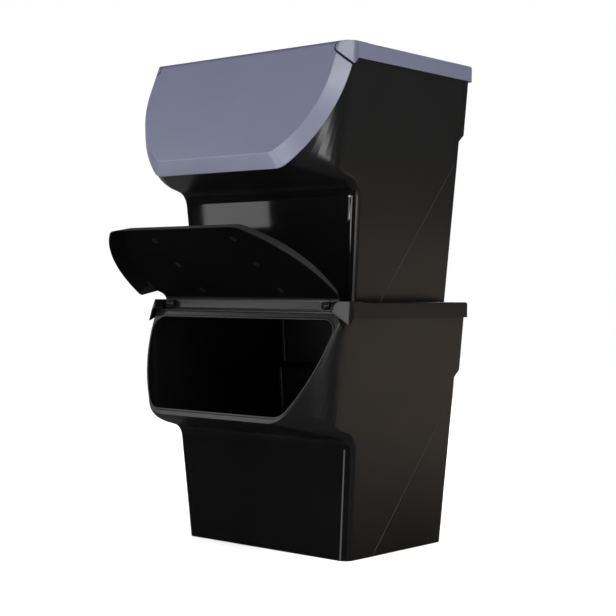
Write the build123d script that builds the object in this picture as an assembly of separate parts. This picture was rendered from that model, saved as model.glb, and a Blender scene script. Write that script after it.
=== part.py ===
"""Two stacking potato bins, one on the other, each with a hinged front flap.

Each bin is three polypropylene mouldings: a tub whose upper half reaches
forward as a hopper mouth, a cover that clips over the tub's rim, and a flap
that hangs in hooks under the cover's front edge and laps over the mouth.
The upper bin stands in the recess in the lower cover.  The lower flap is
swung up, the upper one is shut.

Frame: millimetres, +Z up, origin at the middle of the lower tub's base.
X runs across the front and Y runs from the front towards the back.
"""
from build123d import *
import os
from math import atan2, cos, hypot, radians, sin, sqrt, tan

os.makedirs("parts", exist_ok=True)

# ---- the bin as a whole ------------------------------------------------------
bin_height = 320.7      # floor to the top of the cover
nest_depth = 8.0        # how far one bin stands down into the cover below
stack_step = 5.0        # how far each bin stands back from the one below
flap_open = 103.0       # degrees that the lower flap stands open

# ---- tub ---------------------------------------------------------------------
base_width = 278.0
base_depth = 202.0
side_draft = 5.0        # degrees, both side walls
front_draft = 3.5       # degrees, the recessed front wall
rear_draft = 0.3        # degrees, the rear wall
wall = 2.4
cavity_rise = 9.6       # cavity drawn on above the rim, so that it opens the tub's top
front_corner_radius = 11.0
rear_corner_radius = 7.0
foot_ring = 14.0        # width of the ring that the tub stands on
foot_recess = 3.0       # how far the floor is raised inside that ring

# hopper mouth: a window in a plane that leans forward towards its foot
mouth_tilt = 22.7       # degrees from upright
mouth_out = 35.0        # mouth plane in front of the base's edge, at cover-top level
mouth_length = 160.0    # down the plane, to the lowest edge of the lip
mouth_arc_radius = 230.6
mouth_inset = 5.5       # widest part of the mouth inside the tub's rim
mouth_arc_drop = 12.0   # widest part of the mouth below the cover top
mouth_corner_radius = 34.0
knee_out = 28.0         # where the cheeks run out into the flat sides
knee_tilt = 2.5
cheek_power = 2.1       # how quickly the cheeks flare out behind the rim
underside_slope = 15.6  # degrees, hopper underside
underside_fillet = 18.0 # hollow between the underside and the front wall
window_margin = 3.2     # rim left beside the window
window_lip = 8.6        # lip left below the window
window_drop = 25.0      # top of the window, down the plane
window_top_radius = 17.0
window_corner_radius = 22.0
bead_height = 1.2
bead_side = 0.9         # bead in from the outer edge
cheek_sections = 8

# rear band and the crease in each side
band_drop = 91.0        # cover top to the band's lower edge
band_step = 10.0        # how far the band stands out
shoulder_height = 9.0
crease_start = 51.0     # behind the base's front edge
crease_drop = 15.7      # its upper end, below the band's shoulder
crease_inset = 2.0      # side pulled in at the rear foot
rim_flange = 0.9
rim_flange_height = 3.5

# ---- cover -------------------------------------------------------------------
cover_top = 2.4         # thickness of the top
skirt_wall = 2.0
skirt_height = 20.0
cover_gap = 0.3         # rim flange to skirt
cover_corner_radius = 10.0
cover_edge_chamfer = 1.6
nest_gap = 1.5          # around a foot that stands in the recess
nest_floor = 2.4
catch_length = 26.0
catch_depth = 0.9
catch_height = 3.0
catch_gap = 0.2
rib_wall = 1.6
rib_height = 7.0

# trough under the hinge
apron_wall = 2.2
trough_floor = 2.2
trough_lip = 2.4        # in front of the pin's middle
swing_gap = 1.1         # turning strip to the apron
sweep_gap = 0.4         # turning strip to the trough's floor

# ear at each front corner
ear_width = 17.0
ear_drop = 10.0         # where the ear's lower edge starts
ear_tip_spread = 6.0    # the tip, outside the cover's skirt
ear_tip_drop = 30.5
ear_tip_out = 9.0       # the tip, in front of the mouth plane's top
ear_back = 20.0         # ear carried on behind the cover's front edge
ear_corner_radius = 6.0

# ---- flap --------------------------------------------------------------------
flap_wall = 2.0
face_stand = 12.3       # face in front of the mouth plane
face_straight = 46.0    # straight part of each side, down the plane
face_pull_in = 60.5     # how far each side is swept in by the foot
face_corner_radius = 15.0
skirt_overhang = 3.5    # outside the cover's skirt
bevel_width = 16.5      # from the face's edge to the skirt's
bevel_length = 14.0     # the same along the foot
skirt_straight = 34.0
skirt_pull_in = 66.0
skirt_drop = 6.5        # below the lip of the mouth, down the plane
skirt_corner_radius = 25.0
skirt_lap = 3.1         # skirt's edge behind the mouth plane
roll_radius = 9.0       # face rolled over onto the top
strip_tail = 4.5        # flap's top strip behind the pin's middle
flap_gap = 2.2          # flap to ear
flap_head = 14.0        # outline carried on past the cover top before it is rolled

# ---- hinge -------------------------------------------------------------------
hinge_out = 38.0        # pin in front of the base's edge
hinge_drop = 5.5
pin_diameter = 5.0
pin_gap = 0.25
hook_wall = 2.0
hook_width = 7.0
hook_inset = 17.5       # ear to the middle of each hook
hook_mouth = 4.2
hook_arm_rise = 1.4     # top of the hook's arm below the pin's middle
web_wall = 2.0
web_gap = 0.8
web_reach = 4.0

# ---- worked out --------------------------------------------------------------
stack_pitch = bin_height - nest_depth
tub_top = bin_height - cover_top
skirt_foot = bin_height - skirt_height
shoulder_z = bin_height - band_drop - shoulder_height
crease_head = shoulder_z - crease_drop
base_front = base_depth / 2
mouth_reach = base_front + mouth_out    # these reaches are measured from the base's middle
knee_reach = base_front + knee_out
hinge_reach = base_front + hinge_out
strip_reach = hinge_reach - strip_tail
swing_radius = hypot(strip_tail, hinge_drop)
cover_front = hinge_reach - swing_radius - swing_gap
trough_depth = hinge_drop + swing_radius + sweep_gap
skirt_length = mouth_length + skirt_drop
face_length = skirt_length - bevel_length
beyond = 40.0           # how far a cutting shape runs past what it cuts
slack = 1.0             # room when an edge or corner is picked by its place
far = 600.0


def side_half(z, inset=0.0):
    """Half the tub's width at height z."""
    return base_width / 2 + z * tan(radians(side_draft)) - inset / cos(radians(side_draft))


def front_y(z):
    return -base_front - z * tan(radians(front_draft))


def rear_y(z):
    return base_depth / 2 + z * tan(radians(rear_draft))


def leaning_plane(reach, tilt, stand=0.0):
    """Plane across the front.  Local Y runs up it, its normal points outwards."""
    normal = Vector(0, -cos(radians(tilt)), sin(radians(tilt)))
    origin = Vector(0, -reach, bin_height) + normal * stand
    return Plane(origin=origin, x_dir=(1, 0, 0), z_dir=normal)


def plane_yz(reach, tilt, stand, down):
    """Y and Z of a point that lies down a leaning plane."""
    a = radians(tilt)
    return (-reach - down * sin(a) - stand * cos(a), bin_height - down * cos(a) + stand * sin(a))


mouth_foot = plane_yz(mouth_reach, mouth_tilt, 0, mouth_length)


def underside_z(y):
    return mouth_foot[1] - (y - mouth_foot[0]) * tan(radians(underside_slope))


def down_to_underside(reach, tilt):
    """Distance down a leaning plane to the hopper's underside."""
    drop = bin_height - underside_z(-reach)
    return drop / (cos(radians(tilt)) + sin(radians(tilt)) * tan(radians(underside_slope)))


def eight_sided(across_flats):
    return RegularPolygon(across_flats / 2, 8, major_radius=False, rotation=22.5)


def closed_face(points, corner_radius=0.0, corners=()):
    """Face on the XY plane round straight sides, some of its corners rounded."""
    face = make_face(Polyline(*points, close=True))
    if corner_radius:
        face = fillet([v for v in face.vertices() if is_at(v, corners)], corner_radius)
    return face


def is_at(vertex, places):
    return any(hypot(vertex.X - x, vertex.Y - y) < 0.01 for x, y in places)


def bar(x0, x1, y0, y1, z0, z1):
    """Block between two corners."""
    block = Box(x1 - x0, y1 - y0, z1 - z0)
    return Pos((x0 + x1) / 2, (y0 + y1) / 2, (z0 + z1) / 2) * block


def across(face, half):
    """Extrude a face drawn in Y and Z to both sides of the middle."""
    return extrude(Plane.YZ * face, half, both=True)


def rear_rounded(half, front, back, radius):
    """Plan of a rectangle whose two rear corners are rounded."""
    return closed_face([(-half, front), (half, front), (half, back), (-half, back)],
                       radius, [(-half, back), (half, back)])


def both_sides(shape):
    return shape + mirror(shape, Plane.YZ)


# ---- sizes that follow from the tub ------------------------------------------
cover_half = side_half(tub_top) + rim_flange + cover_gap + skirt_wall
cover_rear = rear_y(tub_top) + band_step + rim_flange + cover_gap + skirt_wall
ear_inner = cover_half - ear_width
hook_offset = ear_inner - hook_inset
skirt_half_width = cover_half + skirt_overhang
face_half_width = skirt_half_width - bevel_width
trough_underside = bin_height - trough_depth - trough_floor
trough_back = -cover_front + apron_wall + cover_gap


# ---- tub ---------------------------------------------------------------------
knee_foot = plane_yz(knee_reach, knee_tilt, 0, down_to_underside(knee_reach, knee_tilt))
root_z = underside_z(front_y(0)) / (1 - tan(radians(underside_slope)) * tan(radians(front_draft)))


def crease_plane(side, inset):
    """Plane of the tub's pulled-in rear side, facing outwards."""
    foot = Vector(side * side_half(0), crease_start - base_front, 0)
    head = Vector(side * side_half(crease_head), rear_y(crease_head), crease_head)
    heel = Vector(side * (side_half(0) - crease_inset), rear_y(0), 0)
    normal = (head - foot).cross(heel - foot).normalized()
    if normal.X * side < 0:
        normal = -normal
    return Plane(origin=foot - normal * inset, z_dir=normal)


def tower(inset, top):
    """Tub behind the knee: side profile across, drafted sides, creases, rounded edges.

    With an inset this is the space inside a wall of that thickness.
    """
    root = (front_y(root_z), root_z)
    profile = closed_face([
        (-knee_reach + (top - bin_height) * tan(radians(knee_tilt)), top),
        knee_foot,
        root,
        (front_y(0), 0),
        (rear_y(0), 0),
        (rear_y(shoulder_z), shoulder_z),
        (rear_y(bin_height - band_drop) + band_step, bin_height - band_drop),
        (rear_y(top) + band_step, top),
    ], underside_fillet, [root])
    if inset:
        profile = offset(profile, -inset)
    low, high = side_half(0, inset), side_half(top, inset)
    wedge = make_face(Polyline((-low, 0), (low, 0), (high, top), (-high, top), close=True))
    body = across(profile, far) & extrude(Plane.XZ * wedge, far, both=True)
    for side in (1, -1):
        body = split(body, crease_plane(side, inset), keep=Keep.BOTTOM)

    # long edges at the sides: down the hollow of the front, and up the rear corners
    def is_front(at):
        return at.Y < front_y(root_z) + inset + slack and at.Z < knee_foot[1] + inset + slack

    def is_rear(at):
        return at.Y > rear_y(0) - inset - slack

    for wanted, radius in ((is_front, front_corner_radius), (is_rear, rear_corner_radius)):
        edges = [e for e in body.edges() if wanted(e @ 0.5) and climbs_side(e)]
        body = flattened(edges, radius - inset) if inset else fillet(edges, radius)
    return body


def flattened(corners, radius):
    """Cut corners off flat, where the flat touches a rounding of that radius in its middle."""
    return chamfer(corners, radius * (2 - sqrt(2)))


def climbs_side(edge):
    """True for an edge that runs up one of the tub's sides."""
    return abs((edge @ 0).Z - (edge @ 1).Z) > 0.01 and abs((edge @ 0.5).X) > base_width / 4


def mouth_half(down):
    """Half the mouth's width at a distance down its plane."""
    widest = side_half(tub_top) - mouth_inset
    rise = down - mouth_arc_drop
    return widest - mouth_arc_radius + sqrt(mouth_arc_radius ** 2 - rise ** 2)


def mouth_outline(inset, top_drop, foot, radius, stand, top_radius=0.0):
    """Outline of the mouth in its own plane, drawn in from the tub's outer edge."""
    middle = (top_drop + foot) / 2
    right = ThreePointArc((mouth_half(top_drop) - inset, -top_drop),
                          (mouth_half(middle) - inset, -middle),
                          (mouth_half(foot) - inset, -foot))
    left = mirror(right, Plane.YZ)
    face = make_face(Curve() + [
        right, left, Line(right @ 0, left @ 0), Line(right @ 1, left @ 1)])
    face = fillet([v for v in face.vertices() if v.Y < -foot + slack], radius)
    if top_radius:
        face = fillet([v for v in face.vertices() if v.Y > -top_drop - slack], top_radius)
    return leaning_plane(mouth_reach, mouth_tilt, stand) * face


def cheek_section(share, inset, top):
    """Cross-section of the hopper between its mouth (0) and the knee (1)."""
    ease = 1 - (1 - share) ** cheek_power
    reach = mouth_reach + share * (knee_reach - mouth_reach) - (1 - share) * inset / cos(radians(mouth_tilt))
    tilt = mouth_tilt + share * (knee_tilt - mouth_tilt)
    high = (bin_height - top) / cos(radians(tilt))
    foot = down_to_underside(reach, tilt) - inset
    points = []
    for down in (high, (high + foot) / 2, foot):
        at_mouth = mouth_half(down)
        at_knee = side_half(bin_height - down * cos(radians(tilt)))
        points.append((at_mouth + ease * (at_knee - at_mouth) - inset, -down))
    right = ThreePointArc(*points)
    left = mirror(right, Plane.YZ)
    face = make_face(Curve() + [
        right, left, Line(right @ 0, left @ 0), Line(right @ 1, left @ 1)])
    radius = mouth_corner_radius + share * (front_corner_radius - mouth_corner_radius) - inset
    face = fillet([v for v in face.vertices() if v.Y < -foot + slack], radius)
    return leaning_plane(reach, tilt) * face


def hull(inset, top):
    """Whole tub as one closed form: the tower, and the hopper lofted on to its knee."""
    body = tower(inset, top)
    knee = body.faces().sort_by(Axis.Y)[0]
    sections = [cheek_section(i / cheek_sections, inset, top) for i in range(cheek_sections)]
    return body + loft(sections + [knee], ruled=True)


def tub():
    """Thin-walled tub with its window, rim bead, snap flange and foot ring."""
    cavity = hull(wall, tub_top + cavity_rise)
    plateau = foot_block(foot_ring - wall, foot_recess + wall)
    body = hull(0, tub_top) - (cavity - plateau) - foot_block(foot_ring, foot_recess)

    half = side_half(tub_top) + rim_flange
    back = rear_y(tub_top) + band_step + rim_flange
    flange = extrude(rear_rounded(half, -cover_front + 2 * wall, back, rear_corner_radius + rim_flange),
                     rim_flange_height)
    body += Pos(0, 0, tub_top - rim_flange_height) * flange - cavity

    foot = mouth_length - window_lip
    window = mouth_outline(window_margin, window_drop, foot, window_corner_radius,
                           -3 * wall, window_top_radius)
    window = extrude(window, 6 * wall)
    width = window_margin - bead_side
    bead = mouth_outline(bead_side, window_drop - width, foot + width, window_corner_radius + width,
                         -wall / 2, window_top_radius + width)
    body = body + extrude(bead, wall / 2 + bead_height) - window

    # room for the cover's hinge trough
    clear = ear_inner + skirt_wall + 2 * cover_gap
    body -= bar(-clear, clear, -far, trough_back, trough_underside, far)
    return body


def foot_block(margin, height):
    return extrude(Rectangle(base_width - 2 * margin, base_depth - 2 * margin), height)


# ---- shared by cover and flap ------------------------------------------------
def front_plane_y(stand, z):
    """Y, at height z, of the plane that stands off the mouth plane."""
    tilt = radians(mouth_tilt)
    return -mouth_reach - (bin_height - z) * tan(tilt) - stand / cos(tilt)


def rolled_front(inset, back):
    """Everything behind the face plane and under the cover top, the edge between rolled."""
    top, low = bin_height - inset, bin_height - skirt_length - beyond
    stand = face_stand - inset
    corner = (front_plane_y(stand, top), top)
    profile = closed_face([corner, (back, top), (back, low), (front_plane_y(stand, low), low)],
                          roll_radius - inset, [corner])
    return across(profile, far)


def ear_region(grow=0.0):
    """Front view of what belongs to the right-hand ear: above its slanting lower edge."""
    slope = (ear_tip_drop - ear_drop) / (ear_width + ear_tip_spread)
    face = make_face(Polyline(
        (ear_inner, bin_height + beyond), (ear_inner, bin_height - ear_drop),
        (ear_inner + beyond, bin_height - ear_drop - beyond * slope),
        (ear_inner + beyond, bin_height + beyond), close=True))
    if grow:
        face = offset(face, grow)
    return extrude(Plane.XZ * face, far, both=True)


# ---- cover -------------------------------------------------------------------
def ear_plan(z, side_x, back, inset=0.0):
    """Plan of the right-hand ear at height z: the flap's bevel carried round to the side."""
    bevel_a = Vector(face_half_width, front_plane_y(face_stand, z))
    bevel_b = Vector(skirt_half_width, front_plane_y(-skirt_lap, z))
    run = (bevel_b - bevel_a) / (bevel_b.X - bevel_a.X)
    nose = bevel_a + run * (ear_inner - bevel_a.X)
    corner = bevel_a + run * (side_x - bevel_a.X)
    face = closed_face([
        (nose.X, nose.Y), (corner.X, corner.Y), (cover_half, -knee_reach),
        (cover_half, back), (ear_inner, back),
    ])
    if inset:
        face = offset(face, -inset, kind=Kind.INTERSECTION)
    tip = face.vertices().sort_by_distance((corner.X, corner.Y))[0]
    radius = ear_corner_radius - inset
    return Plane(origin=(0, 0, z)) * (flattened(tip, radius) if inset else fillet(tip, radius))


def ear(inset=0.0):
    low, high = bin_height - ear_tip_drop, bin_height
    back = -cover_front + ear_back + 4 * inset
    tip_x = cover_half + ear_tip_spread
    form = loft([ear_plan(low, tip_x, back, inset), ear_plan(high, cover_half, back, inset)],
                ruled=True)
    if inset:
        return form
    lower_edge = (ear_tip_drop - skirt_height) / (mouth_reach + ear_tip_out - knee_reach)
    keep = make_face(Polyline(
        (-knee_reach - beyond, bin_height + slack),
        (-knee_reach - beyond, skirt_foot - beyond * lower_edge),
        (-knee_reach, skirt_foot), (0, skirt_foot), (0, bin_height + slack), close=True))
    return form & across(keep, far) & ear_region() & rolled_front(0, far)


def cover():
    """Clip-on cover: stacking recess, skirt, ears, hinge trough and hooks."""
    plan = rear_rounded(cover_half, -cover_front, cover_rear, cover_corner_radius)
    block = Pos(0, 0, skirt_foot) * extrude(plan, skirt_height)
    top_edges = block.edges().filter_by(lambda e: abs((e @ 0.5).Z - bin_height) < 0.01)
    block = chamfer(top_edges.filter_by(lambda e: (e @ 0.5).Y > -cover_front + slack),
                    cover_edge_chamfer)
    inside = Pos(0, 0, skirt_foot) * extrude(offset(plan, -skirt_wall), skirt_height - cover_top)

    body = block + both_sides(ear())
    hollow = inside + both_sides(ear(skirt_wall) - bar(-far, far, -far, far, tub_top, far))
    body -= hollow

    # the front edge stands back from the flap's strip and turns down into the hinge trough
    apron_back = -cover_front + apron_wall
    front_foot = bin_height - trough_depth - trough_floor
    body -= bar(-ear_inner, ear_inner, -far, apron_back, 0, front_foot)
    trough_front = -hinge_reach - trough_lip
    body += bar(-ear_inner, ear_inner, trough_front, apron_back, front_foot,
                front_foot + trough_floor)
    body += both_sides(bar(ear_inner, ear_inner + skirt_wall, trough_front, apron_back,
                           front_foot, tub_top))
    for x in (-hook_offset, hook_offset):
        body += hinge_hook(x)

    # recess that the next bin stands in, ribbed underneath
    half = side_half(nest_depth) + nest_gap
    front, back = front_y(nest_depth) - nest_gap, rear_y(nest_depth) + nest_gap
    front, back = front + stack_step, back + stack_step
    pan_floor = bin_height - nest_depth
    body += bar(-half - nest_floor, half + nest_floor, front - nest_floor, back + nest_floor,
                pan_floor - nest_floor, tub_top)
    for i in range(-1, 2):
        x = i * half / 2
        body += bar(x - rib_wall / 2, x + rib_wall / 2, front, back,
                    pan_floor - nest_floor - rib_height, pan_floor - nest_floor)
    for i in (-1, 1):
        y = (front + back) / 2 + i * (back - front) / 6
        body += bar(-half, half, y - rib_wall / 2, y + rib_wall / 2,
                    pan_floor - nest_floor - rib_height, pan_floor - nest_floor)
    recess = RectangleRounded(2 * half, back - front, front_corner_radius)
    body -= Pos(0, (front + back) / 2, pan_floor) * extrude(recess, beyond)

    # catches that snap under the tub's rim flange
    catch_top = tub_top - rim_flange_height - catch_gap
    wall_x, wall_y = cover_half - skirt_wall, cover_rear - skirt_wall
    for i in range(-1, 2):
        y = i * cover_rear / 2
        body += both_sides(catch(catch_top).moved(Location((wall_x, y, 0))))
        x = i * cover_half / 2
        body += catch(catch_top).moved(Location((x, wall_y, 0), (0, 0, 90)))
    return body


def catch(top):
    """Catch on a wall whose inner face is X = 0: flat on top, ramped below."""
    profile = make_face(Polyline(
        (skirt_wall / 2, top), (-catch_depth, top), (-catch_depth, top - catch_height / 3),
        (skirt_wall / 2, top - catch_height), close=True))
    return extrude(Plane.XZ * profile, catch_length / 2, both=True)


def hinge_hook(x):
    """Open hook round the flap's pin, carried on the apron behind it."""
    y, z = -hinge_reach, bin_height - hinge_drop
    bore = pin_diameter / 2 + pin_gap
    outer = bore + hook_wall
    profile = eight_sided(2 * outer)
    arm = Pos((hinge_reach - cover_front + apron_wall / 2) / 2, -(outer + hook_arm_rise) / 2)
    arm *= Rectangle(hinge_reach - cover_front + apron_wall / 2, outer - hook_arm_rise)
    profile = profile + arm - Circle(bore)
    profile -= Pos(-outer / 2, 0) * Rectangle(outer, hook_mouth)
    hook = extrude(Plane.YZ * profile, hook_width / 2, both=True)
    return Pos(x, y, z) * hook


# ---- flap --------------------------------------------------------------------
def sweep_radius(run, pull_in):
    """Radius of an arc that sets off straight and is drawn in that far by the end of its run."""
    return (run ** 2 + pull_in ** 2) / (2 * pull_in)


def flap_outline(plane, half, straight, arc_radius, foot, corner_radius):
    """Shield-shaped outline of the flap in a leaning plane: straight, then swept in, then level."""
    def swept(down):
        return half - arc_radius + sqrt(arc_radius ** 2 - (down - straight) ** 2)
    middle = (straight + foot) / 2
    side = Curve() + [
        Line((half, flap_head), (half, -straight)),
        ThreePointArc((half, -straight), (swept(middle), -middle), (swept(foot), -foot))]
    face = make_face(side + mirror(side, Plane.YZ) + [
        Line((-half, flap_head), (half, flap_head)), Line((-swept(foot), -foot), (swept(foot), -foot))])
    face = fillet([v for v in face.vertices() if v.Y < -foot + slack], corner_radius)
    return plane * face


def flap_form(inset):
    """Flap as a closed form: face outline lofted back and out to the skirt's edge."""
    spread = (skirt_half_width - face_half_width + skirt_length - face_length) / 2
    flare = atan2(spread, face_stand + skirt_lap)
    past = inset / 2
    face_in = inset * (1 / cos(flare) - tan(flare))
    edge_in = inset / cos(flare) - past * tan(flare)
    face_arc = sweep_radius(face_length - face_straight, face_pull_in)
    skirt_arc = sweep_radius(skirt_length - skirt_straight, skirt_pull_in)
    face = flap_outline(leaning_plane(mouth_reach, mouth_tilt, face_stand - inset),
                        face_half_width - face_in, face_straight, face_arc - face_in,
                        face_length - face_in, face_corner_radius - face_in)
    edge = flap_outline(leaning_plane(mouth_reach, mouth_tilt, -skirt_lap - past),
                        skirt_half_width - edge_in, skirt_straight, skirt_arc - edge_in,
                        skirt_length - edge_in, skirt_corner_radius - edge_in)
    back = -strip_reach if not inset else far
    return loft([edge, face], ruled=True) & rolled_front(inset, back)


def flap():
    """Flap in its shut place: shell, top strip, and the pins that bridge its slots."""
    body = flap_form(0) - flap_form(flap_wall)
    body -= both_sides(ear_region(flap_gap))

    axis = Pos(0, -hinge_reach, bin_height - hinge_drop)
    slot_half = hook_width / 2 + web_gap
    slot_front = -hinge_reach - pin_diameter
    for x in (-hook_offset, hook_offset):
        body -= bar(x - slot_half, x + slot_half, slot_front, far, bin_height - 2 * hinge_drop, far)
        for side in (-1, 1):
            web = eight_sided(pin_diameter + 2 * pin_gap + hook_wall)
            web += Pos(0, (hinge_drop - flap_wall / 2) / 2) * Rectangle(
                2 * web_reach, hinge_drop - flap_wall / 2)
            start = x + side * (slot_half + web_wall / 2)
            body += axis * Pos(start, 0, 0) * extrude(Plane.YZ * web, web_wall / 2, both=True)
        pin = Cylinder(pin_diameter / 2, 2 * slot_half + web_wall)
        body += axis * Pos(x, 0, 0) * Rot(0, 90, 0) * pin
    return body


# ---- the two bins ------------------------------------------------------------
bin_parts = {"tub": tub(), "cover": cover(), "flap": flap()}
hinge = Axis((0, -hinge_reach, bin_height - hinge_drop), (-1, 0, 0))
for bin_name, step, base_z, swing in (
        ("lower", 0, 0, flap_open), ("upper", stack_step, stack_pitch, 0)):
    for part_name, shape in bin_parts.items():
        if part_name == "flap":
            shape = shape.rotate(hinge, swing)
        export_step(Pos(0, step, base_z) * shape, f"parts/{bin_name}_{part_name}.step")
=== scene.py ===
"""Looks of a stack of two potato bins: moulded plastics, moulding marks, floor, light and camera."""
from math import cos, pi, radians, sin

import bpy
from mathutils import Matrix, Vector


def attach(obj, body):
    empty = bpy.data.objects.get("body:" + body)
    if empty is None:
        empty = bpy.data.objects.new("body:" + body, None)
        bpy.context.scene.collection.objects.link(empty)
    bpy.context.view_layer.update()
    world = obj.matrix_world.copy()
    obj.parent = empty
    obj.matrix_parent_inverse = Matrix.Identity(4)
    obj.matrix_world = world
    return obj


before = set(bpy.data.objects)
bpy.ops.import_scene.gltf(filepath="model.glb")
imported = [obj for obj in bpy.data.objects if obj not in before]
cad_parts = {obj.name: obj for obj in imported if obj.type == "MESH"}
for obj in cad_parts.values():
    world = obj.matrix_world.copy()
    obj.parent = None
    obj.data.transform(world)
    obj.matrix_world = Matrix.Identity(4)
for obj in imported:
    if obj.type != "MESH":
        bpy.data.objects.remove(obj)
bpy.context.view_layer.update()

MM = 0.001              # metres

# ---- places on the stack, mm, as in the CAD ----------------------------------
FEET = {"lower": Vector((0.0, 0.0, 0.0)), "upper": Vector((0.0, 5.0, 312.7))}
COVER_TOP = 320.7       # above each bin's foot
MOUTH_TOP = -136.0      # Y of the mouth plane at the cover's top
MOUTH_TILT = 22.7       # degrees from upright
FACE_INSIDE = 10.3      # inside of the flap's face, in front of the mouth plane
PIN = Vector((0.0, -139.0, 315.2))      # the lower flap's hinge
FLAP_OPEN = 103.0       # degrees that the lower flap stands open
KNEE_REACH = 129.0      # front of the tubs' sides, from the base's middle

# polished front walls, round to the start of each side
POLISHED_TOP = 165.0    # above the tub's foot
POLISHED_BACK = -85.0   # no further back than this
POLISHED_FACING = -0.7  # Y of the faces' normals: the corners past that are satin

# finishes of the lower flap, by how squarely its faces look inwards or outwards: painted shade on
# the inside, painted light on the outside
SQUARE_ON = 0.97        # the flat face
ASLANT = 0.3            # and the border that slopes round it
HINGE_END = 30.0        # mm from the pins: the knuckles end there

# marks that the ejector pins leave inside each flap's face
MARK_RADIUS = 4.5
MARK_HEIGHT = 0.6
MARK_SIDES = 32
MARK_COLUMNS = (-68.0, 68.0)            # across the flap's plane
MARK_ROWS = (-24.0, -78.0, -128.0)      # down it

# crease of each tub's side, where two faces of the tool meet: a raised line, coloured pale as a
# painted highlight
CREASE_FOOT = Vector((139.0, -50.0, 0.0))       # on the right side
CREASE_HEAD = Vector((156.9, 102.1, 205.0))
CREASE_SPAN = (0.01, 0.93)                      # the line's ends, as shares of the crease
LINE_RADIUS = 0.6
LINE_SIDES = 8

# sizes of the plastic's patterns
FLOW_CLOUD = 120.0      # drift of the colour, where the melt ran
HANDLING = 35.0         # patches that hands have made shinier or duller
SINK_WAVE = 70.0        # slow waves of the walls
SINK_DEPTH = 0.2
EDGE_ROUNDING = 1.4     # radius that the sharp edges seem to have
GRAIN = 1.6             # the real grain is about 0.1 mm: drawn coarser, as fine as shows
BOARD_CLOUD = 400.0     # broad patches of the painted board

PLASTIC_IOR = 1.49      # polypropylene
NOISE_LOW, NOISE_HIGH = 0.3, 0.7        # the span that a noise texture fills


# ---- nodes -------------------------------------------------------------------
def linear(hex_colour):
    """sRGB hex, such as "6d6f84", to a linear RGBA tuple."""
    def channel(value):
        return value / 12.92 if value <= 0.04045 else ((value + 0.055) / 1.055) ** 2.4
    parts = [int(hex_colour[i:i + 2], 16) / 255 for i in (0, 2, 4)]
    return (*[channel(p) for p in parts], 1.0)


def add(tree, kind, settings=None, **sockets):
    """Add a node; each socket is given a value, or a (node, output) pair to link from.

    i6 means input number 6, for the Mix node, whose inputs share their names: with colours,
    0 is the share, 6 and 7 are the two colours, and output 2 is the mixed one.
    """
    node = tree.nodes.new(kind)
    for name, value in (settings or {}).items():
        setattr(node, name, value)
    for name, value in sockets.items():
        key = int(name[1:]) if name[0] == "i" and name[1:].isdigit() else name.replace("_", " ")
        socket = node.inputs[key]
        if isinstance(value, tuple) and isinstance(value[0], bpy.types.Node):
            tree.links.new(value[0].outputs[value[1]], socket)
        else:
            socket.default_value = value
    return node


def new_material(name):
    """Material with only a shader in it; also its node tree, and object coordinates to link from."""
    material = bpy.data.materials.new(name)
    material.use_nodes = True
    tree = material.node_tree
    tree.nodes.clear()
    shader = add(tree, "ShaderNodeBsdfPrincipled")
    add(tree, "ShaderNodeOutputMaterial", Surface=(shader, "BSDF"))
    place = add(tree, "ShaderNodeTexCoord")
    return material, tree, shader, (place, "Object")


def per_mm(size):
    """Texture scale, in cycles per metre, for a feature of that many millimetres."""
    return 1000.0 / size


# ---- plastics ----------------------------------------------------------------
def moulded(name, pale, deep, rough_low, rough_high, grain_depth, specular):
    """Injection-moulded polypropylene: faint flow clouds between two colours, hands' patches
    between two roughnesses, slow sink waves, and a spark-eroded grain of some depth in mm."""
    material, tree, shader, place = new_material(name)
    clouds = add(tree, "ShaderNodeTexNoise", Vector=place, Scale=per_mm(FLOW_CLOUD), Detail=3.0)
    share = add(tree, "ShaderNodeMapRange", Value=(clouds, "Fac"), From_Min=NOISE_LOW,
                From_Max=NOISE_HIGH)
    colour = add(tree, "ShaderNodeMix", {"data_type": "RGBA"}, i0=(share, "Result"),
                 i6=linear(deep), i7=linear(pale))
    handling = add(tree, "ShaderNodeTexNoise", Vector=place, Scale=per_mm(HANDLING), Detail=5.0,
                   Roughness=0.6)
    gloss = add(tree, "ShaderNodeMapRange", Value=(handling, "Fac"), From_Min=NOISE_LOW,
                From_Max=NOISE_HIGH, To_Min=rough_low, To_Max=rough_high)
    edge = add(tree, "ShaderNodeBevel", {"samples": 6}, Radius=EDGE_ROUNDING * MM)
    waves = add(tree, "ShaderNodeTexNoise", Vector=place, Scale=per_mm(SINK_WAVE), Detail=1.0)
    slow = add(tree, "ShaderNodeBump", Height=(waves, "Fac"), Normal=(edge, "Normal"),
               Strength=0.3, Distance=SINK_DEPTH * MM)
    sparks = add(tree, "ShaderNodeTexNoise", Vector=place, Scale=per_mm(GRAIN), Detail=2.0)
    fine = add(tree, "ShaderNodeBump", Height=(sparks, "Fac"), Normal=(slow, "Normal"),
               Strength=0.5, Distance=grain_depth * MM)
    tree.links.new(colour.outputs[2], shader.inputs["Base Color"])
    tree.links.new(gloss.outputs["Result"], shader.inputs["Roughness"])
    tree.links.new(fine.outputs["Normal"], shader.inputs["Normal"])
    shader.inputs["IOR"].default_value = PLASTIC_IOR
    shader.inputs["Specular IOR Level"].default_value = specular
    return material


# Polypropylene, violet grey, moulded in a spark-eroded tool: a soft satin sheen.
violet_grey = moulded("polypropylene_violet_grey_satin", "626477", "5f6173",
                      0.30, 0.36, 0.03, 0.7)
# The same in carbon black, which takes a little more shine.  Below a roughness of about 0.28
# a denoised render breaks its wide, soft reflections into blotches.
charcoal = moulded("polypropylene_charcoal_satin", "111111", "0d0d0d",
                   0.285, 0.33, 0.015, 0.4)
# Carbon black off a polished face of the tool: the front walls, glossy.
charcoal_gloss = moulded("polypropylene_charcoal_polished", "0a0909", "070606",
                         0.03, 0.06, 0.0, 0.38)
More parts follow.
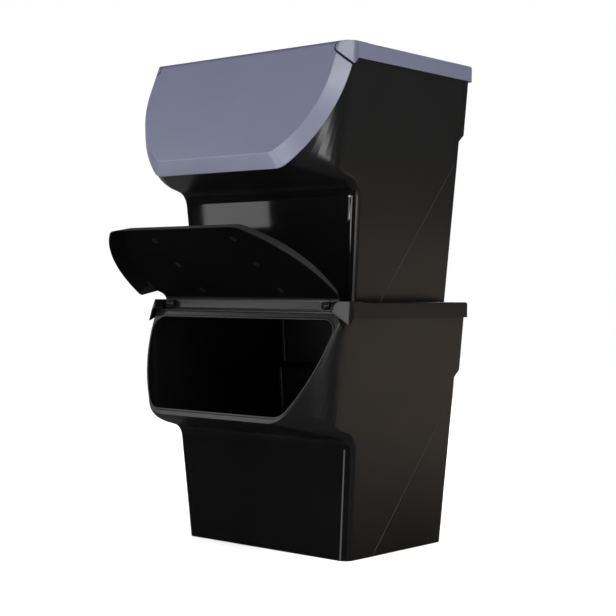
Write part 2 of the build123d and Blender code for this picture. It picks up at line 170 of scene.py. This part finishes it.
# Carbon black off a blasted face of the tool: the lower flap's inside, nearly matt, its colour
# darkened and its sheen cut as painted shade of the open flap's inside.
matt_charcoal_painted_shade = moulded("polypropylene_blasted_charcoal_painted_shade", "070707", "050505",
                        0.5, 0.6, 0.03, 0.05)
# Carbon black made pale and dull: a painted highlight on the raised line along each tub's crease.
painted_highlight_charcoal = moulded("polypropylene_painted_highlight_charcoal", "2e2d2c", "262524",
                          0.4, 0.5, 0.02, 0.4)
# Carbon black off a deeply textured face of the tool: the lower flap's outside, dull; its greyer
# colour is painted light, where light from above falls on the open flap.
textured_charcoal_painted_light = moulded("polypropylene_textured_charcoal_painted_light", "343333", "2b2a2a",
                            0.42, 0.5, 0.05, 0.5)

for node, material in (("upper_cover", violet_grey), ("upper_flap", violet_grey),
                       ("lower_cover", charcoal), ("lower_flap", charcoal),
                       ("lower_tub", charcoal), ("upper_tub", charcoal)):
    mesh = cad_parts[node].data
    mesh.materials.clear()
    mesh.materials.append(material)


def finish_faces(node, material, wanted):
    """Give one more material to the faces of a CAD node that are wanted."""
    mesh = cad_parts[node].data
    mesh.materials.append(material)
    for polygon in mesh.polygons:
        if wanted(polygon.center / MM, polygon.normal):
            polygon.material_index = len(mesh.materials) - 1


for name, foot in FEET.items():
    def is_front_wall(at, normal, foot=foot):
        place = at - foot
        return (normal.y < POLISHED_FACING and place.z < POLISHED_TOP
                and -KNEE_REACH < place.y < POLISHED_BACK)
    finish_faces(name + "_tub", charcoal_gloss, is_front_wall)


def flap_place(name, stand):
    """Matrix from a flap's own plane (X across, Y up it, Z outwards) to its place, in mm."""
    tilt = radians(90 - MOUTH_TILT)
    plane = Matrix.Translation((0.0, MOUTH_TOP, COVER_TOP)) @ Matrix.Rotation(tilt, 4, "X")
    plane = plane @ Matrix.Translation((0.0, 0.0, stand))
    if name == "lower":
        swing = Matrix.Rotation(-radians(FLAP_OPEN), 4, "X")
        plane = Matrix.Translation(PIN) @ swing @ Matrix.Translation(-PIN) @ plane
    return Matrix.Translation(FEET[name]) @ plane


inwards = -(flap_place("lower", 0.0).to_3x3() @ Vector((0.0, 0.0, 1.0)))


def is_flap_inside(at, normal):
    """The flat of the lower flap's inside, and the slopes round it but for the knuckles: where
    painted shade goes.
    """
    facing = normal.dot(inwards)
    return facing > SQUARE_ON or (facing > ASLANT and (at - PIN).yz.length > HINGE_END)


# painted shade: the lower flap's inside made darker and nearly without sheen
finish_faces("lower_flap", matt_charcoal_painted_shade, is_flap_inside)
# painted light: the lower flap's outside made greyer than the rest of the black plastic
finish_faces("lower_flap", textured_charcoal_painted_light, lambda at, normal: normal.dot(inwards) < -ASLANT)


# ---- moulding marks ----------------------------------------------------------
def node_group(name, *inputs):
    """Geometry node group with a geometry input and output, and named inputs."""
    tree = bpy.data.node_groups.new(name, "GeometryNodeTree")
    tree.interface.new_socket("Geometry", in_out="INPUT", socket_type="NodeSocketGeometry")
    for label, kind, value in inputs:
        socket = tree.interface.new_socket(label, in_out="INPUT", socket_type=kind)
        if value is not None:
            socket.default_value = value
    tree.interface.new_socket("Geometry", in_out="OUTPUT", socket_type="NodeSocketGeometry")
    return tree, add(tree, "NodeGroupInput")


def piece_from(name, points, edges, tree, material, body, place=Matrix()):
    """Run a node group over points in mm, and keep the mesh that it makes as a piece of a body."""
    seed_mesh = bpy.data.meshes.new(name + "_points")
    seed_mesh.from_pydata([Vector(p) * MM for p in points], edges, [])
    seed = bpy.data.objects.new(name + "_points", seed_mesh)
    bpy.context.scene.collection.objects.link(seed)
    modifier = seed.modifiers.new("marks", "NODES")
    modifier.node_group = tree
    for item in tree.interface.items_tree:
        if item.in_out == "INPUT" and item.name == "Material":
            modifier[item.identifier] = material
    bpy.context.view_layer.update()
    made = seed.evaluated_get(bpy.context.evaluated_depsgraph_get())
    mesh = bpy.data.meshes.new_from_object(made)
    bpy.data.objects.remove(seed)
    scaled = place.copy()
    scaled.translation = scaled.translation * MM
    mesh.transform(scaled)
    mesh.name = name
    piece = bpy.data.objects.new(name, mesh)
    bpy.context.scene.collection.objects.link(piece)
    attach(piece, body)


# round marks that the ejector pins leave
pin_marks, given = node_group(
    "ejector_pin_marks", ("Mark Radius", "NodeSocketFloat", MARK_RADIUS * MM),
    ("Mark Height", "NodeSocketFloat", MARK_HEIGHT * MM), ("Material", "NodeSocketMaterial", None))
disc = add(pin_marks, "GeometryNodeMeshCylinder", Vertices=MARK_SIDES,
           Radius=(given, "Mark Radius"), Depth=(given, "Mark Height"))
placed = add(pin_marks, "GeometryNodeInstanceOnPoints", Points=(given, "Geometry"),
             Instance=(disc, "Mesh"))
real = add(pin_marks, "GeometryNodeRealizeInstances", Geometry=(placed, "Instances"))
finished = add(pin_marks, "GeometryNodeSetMaterial", Geometry=(real, "Geometry"),
               Material=(given, "Material"))
add(pin_marks, "NodeGroupOutput", Geometry=(finished, "Geometry"))

# fine raised lines, such as where two faces of the tool meet
raised_line, given = node_group(
    "raised_line", ("Line Radius", "NodeSocketFloat", LINE_RADIUS * MM),
    ("Material", "NodeSocketMaterial", None))
path = add(raised_line, "GeometryNodeMeshToCurve", Mesh=(given, "Geometry"))
profile = add(raised_line, "GeometryNodeCurvePrimitiveCircle", Resolution=LINE_SIDES,
              Radius=(given, "Line Radius"))
swept = add(raised_line, "GeometryNodeCurveToMesh", Curve=(path, "Curve"),
            Profile_Curve=(profile, "Curve"), Fill_Caps=True)
real = add(raised_line, "GeometryNodeRealizeInstances", Geometry=(swept, "Mesh"))
finished = add(raised_line, "GeometryNodeSetMaterial", Geometry=(real, "Geometry"),
               Material=(given, "Material"))
add(raised_line, "NodeGroupOutput", Geometry=(finished, "Geometry"))

marks = [(x, y, 0.0) for y in MARK_ROWS for x in MARK_COLUMNS]
for name, slot, material in (("lower", "black_plastic", charcoal),
                             ("upper", "violet_grey_plastic", violet_grey)):
    piece_from(name + "_flap_pin_marks", marks, [], pin_marks, material,
               name + "_flap", flap_place(name, FACE_INSIDE))

# raised lines along the tubs' creases, in the pale charcoal that paints a highlight on them
for name, foot in FEET.items():
    ends = [foot + Vector((side, 1.0, 1.0)) * CREASE_FOOT.lerp(CREASE_HEAD, share)
            for side in (1.0, -1.0) for share in CREASE_SPAN]
    piece_from(name + "_tub_crease_highlight_lines", ends, [(0, 1), (2, 3)], raised_line, painted_highlight_charcoal,
               name + "_bin")


# ---- floor -------------------------------------------------------------------
# Painted board, nearly white: matt, with broad patches that hardly show.
board, board_tree, board_shader, board_place = new_material("painted_board_pale")
board_noise = add(board_tree, "ShaderNodeTexNoise", Vector=board_place,
                  Scale=per_mm(BOARD_CLOUD), Detail=2.0)
board_colour = add(board_tree, "ShaderNodeMix", {"data_type": "RGBA"}, i0=(board_noise, "Fac"),
                   i6=linear("f5f5f5"), i7=linear("f9f9f9"))
board_tree.links.new(board_colour.outputs[2], board_shader.inputs["Base Color"])
board_shader.inputs["Roughness"].default_value = 0.9

FLOOR_REACH = 15.0      # metres each way from the stack
FLOOR_TOP = -0.0002     # metres: a hair under the stack's feet
floor_mesh = bpy.data.meshes.new("floor")
floor_mesh.from_pydata([(x * FLOOR_REACH, y * FLOOR_REACH, FLOOR_TOP)
                        for x, y in ((-1, -1), (1, -1), (1, 1), (-1, 1))], [], [(0, 1, 2, 3)])
floor_mesh.materials.append(board)
floor = bpy.data.objects.new("floor", floor_mesh)
bpy.context.scene.collection.objects.link(floor)
floor.visible_glossy = False            # glossy walls mirror the dim studio, not a white board

# ---- light, in metres --------------------------------------------------------
# white backdrop as the camera sees it, dim studio all round for everything else
STUDIO_DIM = 0.03
world = bpy.data.worlds.new("studio_air")
world.use_nodes = True
air = world.node_tree
seen_by = add(air, "ShaderNodeLightPath")
backdrop = add(air, "ShaderNodeMapRange", Value=(seen_by, "Is Camera Ray"), To_Min=STUDIO_DIM,
               To_Max=1.0)
air.nodes["Background"].inputs["Color"].default_value = (1.0, 1.0, 1.0, 1.0)
air.links.new(backdrop.outputs["Result"], air.nodes["Background"].inputs["Strength"])
bpy.context.scene.world = world
bpy.context.scene.view_settings.view_transform = "Standard"

# a wide overhead source on the board alone, so that it is evenly white however far off
overhead = bpy.data.lights.new("overhead", "SUN")
overhead.energy = 3.7
overhead.angle = radians(75)
overhead_holder = bpy.data.objects.new("overhead", overhead)
overhead_holder.rotation_euler = (radians(16), radians(10), 0.0)
bpy.context.scene.collection.objects.link(overhead_holder)
lit_from_above = bpy.data.collections.new("lit_from_above")
lit_from_above.objects.link(floor)
overhead_holder.light_linking.receiver_collection = lit_from_above


def softbox(name, at, aim, width, height, radiance, tint=(1.0, 1.0, 1.0)):
    """Rectangular area light that stands at one point, faces another and hides from the camera.

    The radiance is that of its face, whatever its size.
    """
    lamp = bpy.data.lights.new(name, "AREA")
    lamp.shape = "RECTANGLE"
    lamp.size = width
    lamp.size_y = height
    lamp.energy = radiance * pi * width * height
    lamp.color = tint
    holder = bpy.data.objects.new(name, lamp)
    holder.location = at
    holder.rotation_euler = (Vector(aim) - Vector(at)).to_track_quat("-Z", "Y").to_euler()
    holder.visible_camera = False
    bpy.context.scene.collection.objects.link(holder)


# from the right and above: the covers, their bevels and rims, and the right sides
softbox("key_softbox", (1.8, -1.0, 1.7), (0.0, -0.1, 0.5), 1.4, 1.4, 1.9)
softbox("bevel_softbox", (1.35, -1.10, 1.60), (0.1, -0.15, 0.55), 0.8, 0.8, 2.6)
softbox("rim_softbox", (1.25, -0.70, 1.80), (0.1, -0.2, 0.5), 1.0, 1.0, 1.3)
softbox("side_softbox", (1.15, -0.43, 0.48), (0.15, -0.1, 0.4), 0.33, 0.52, 8.2)
# from the front: edges, undersides, the flaps' faces and the front corners
softbox("edge_softbox", (-0.05, -1.65, 1.70), (0.0, -0.15, 0.5), 0.5, 0.3, 5.0)
softbox("low_softbox", (-0.5, -1.6, 0.16), (0.0, -0.1, 0.5), 0.8, 0.3, 12.0)
softbox("face_softbox", (-0.70, -0.75, 0.80), (-0.05, -0.15, 0.5), 0.3, 0.3, 4.0)
softbox("corner_softbox", (0.35, -2.0, 0.20), (0.14, -0.1, 0.20), 0.4, 0.6, 7.0)
# from the left and behind, so that those sides read as well
softbox("left_softbox", (-1.6, -1.3, 0.9), (0.0, -0.1, 0.5), 0.6, 0.6, 2.0)
softbox("left_card", (-1.7, 1.4, 0.3), (-0.1, 0.0, 0.3), 1.8, 1.4, 0.4)
softbox("rear_softbox", (-0.9, 2.0, 1.3), (0.0, 0.1, 0.4), 1.2, 1.2, 3.5)
softbox("rear_side_softbox", (1.6, 1.6, 0.6), (0.15, 0.0, 0.4), 0.8, 0.8, 0.17)
# what the polished walls and the black sides mirror
softbox("strip_softbox", (-0.81, -1.97, 0.10), (0.14, -0.10, 0.10), 0.65, 2.4, 2.8)
softbox("warm_card", (1.5, 1.7, -0.10), (0.15, 0.0, 0.05), 1.8, 0.7, 0.66, (1.0, 0.80, 0.64))
softbox("window_softbox", (-0.676, -0.753, 0.432), (-0.05, -0.105, 0.449), 0.128, 0.109, 2.6)

# ---- camera ------------------------------------------------------------------
FOCAL_PX = 1401.376     # lens, in pixels of the square frame
FRAME_PX = 616
YAW, PITCH, ROLL = 40.981, -0.473, 0.559        # degrees
EYE = (1229.442, -1432.561, 326.279)            # mm

lens = bpy.data.cameras.new("camera")
lens.sensor_width = 36.0
lens.lens = FOCAL_PX / FRAME_PX * lens.sensor_width
lens.clip_start = 0.01
camera = bpy.data.objects.new("camera", lens)
yaw, pitch = radians(YAW), radians(PITCH)
ahead = Vector((-sin(yaw) * cos(pitch), cos(yaw) * cos(pitch), sin(pitch)))
right = Vector((cos(yaw), sin(yaw), 0.0))
upward = right.cross(ahead)
axes = Matrix((right, upward, -ahead)).transposed().to_4x4()
camera.matrix_world = (Matrix.Translation(Vector(EYE) * MM) @ axes
                       @ Matrix.Rotation(radians(ROLL), 4, "Z"))
bpy.context.scene.collection.objects.link(camera)
bpy.context.scene.camera = camera
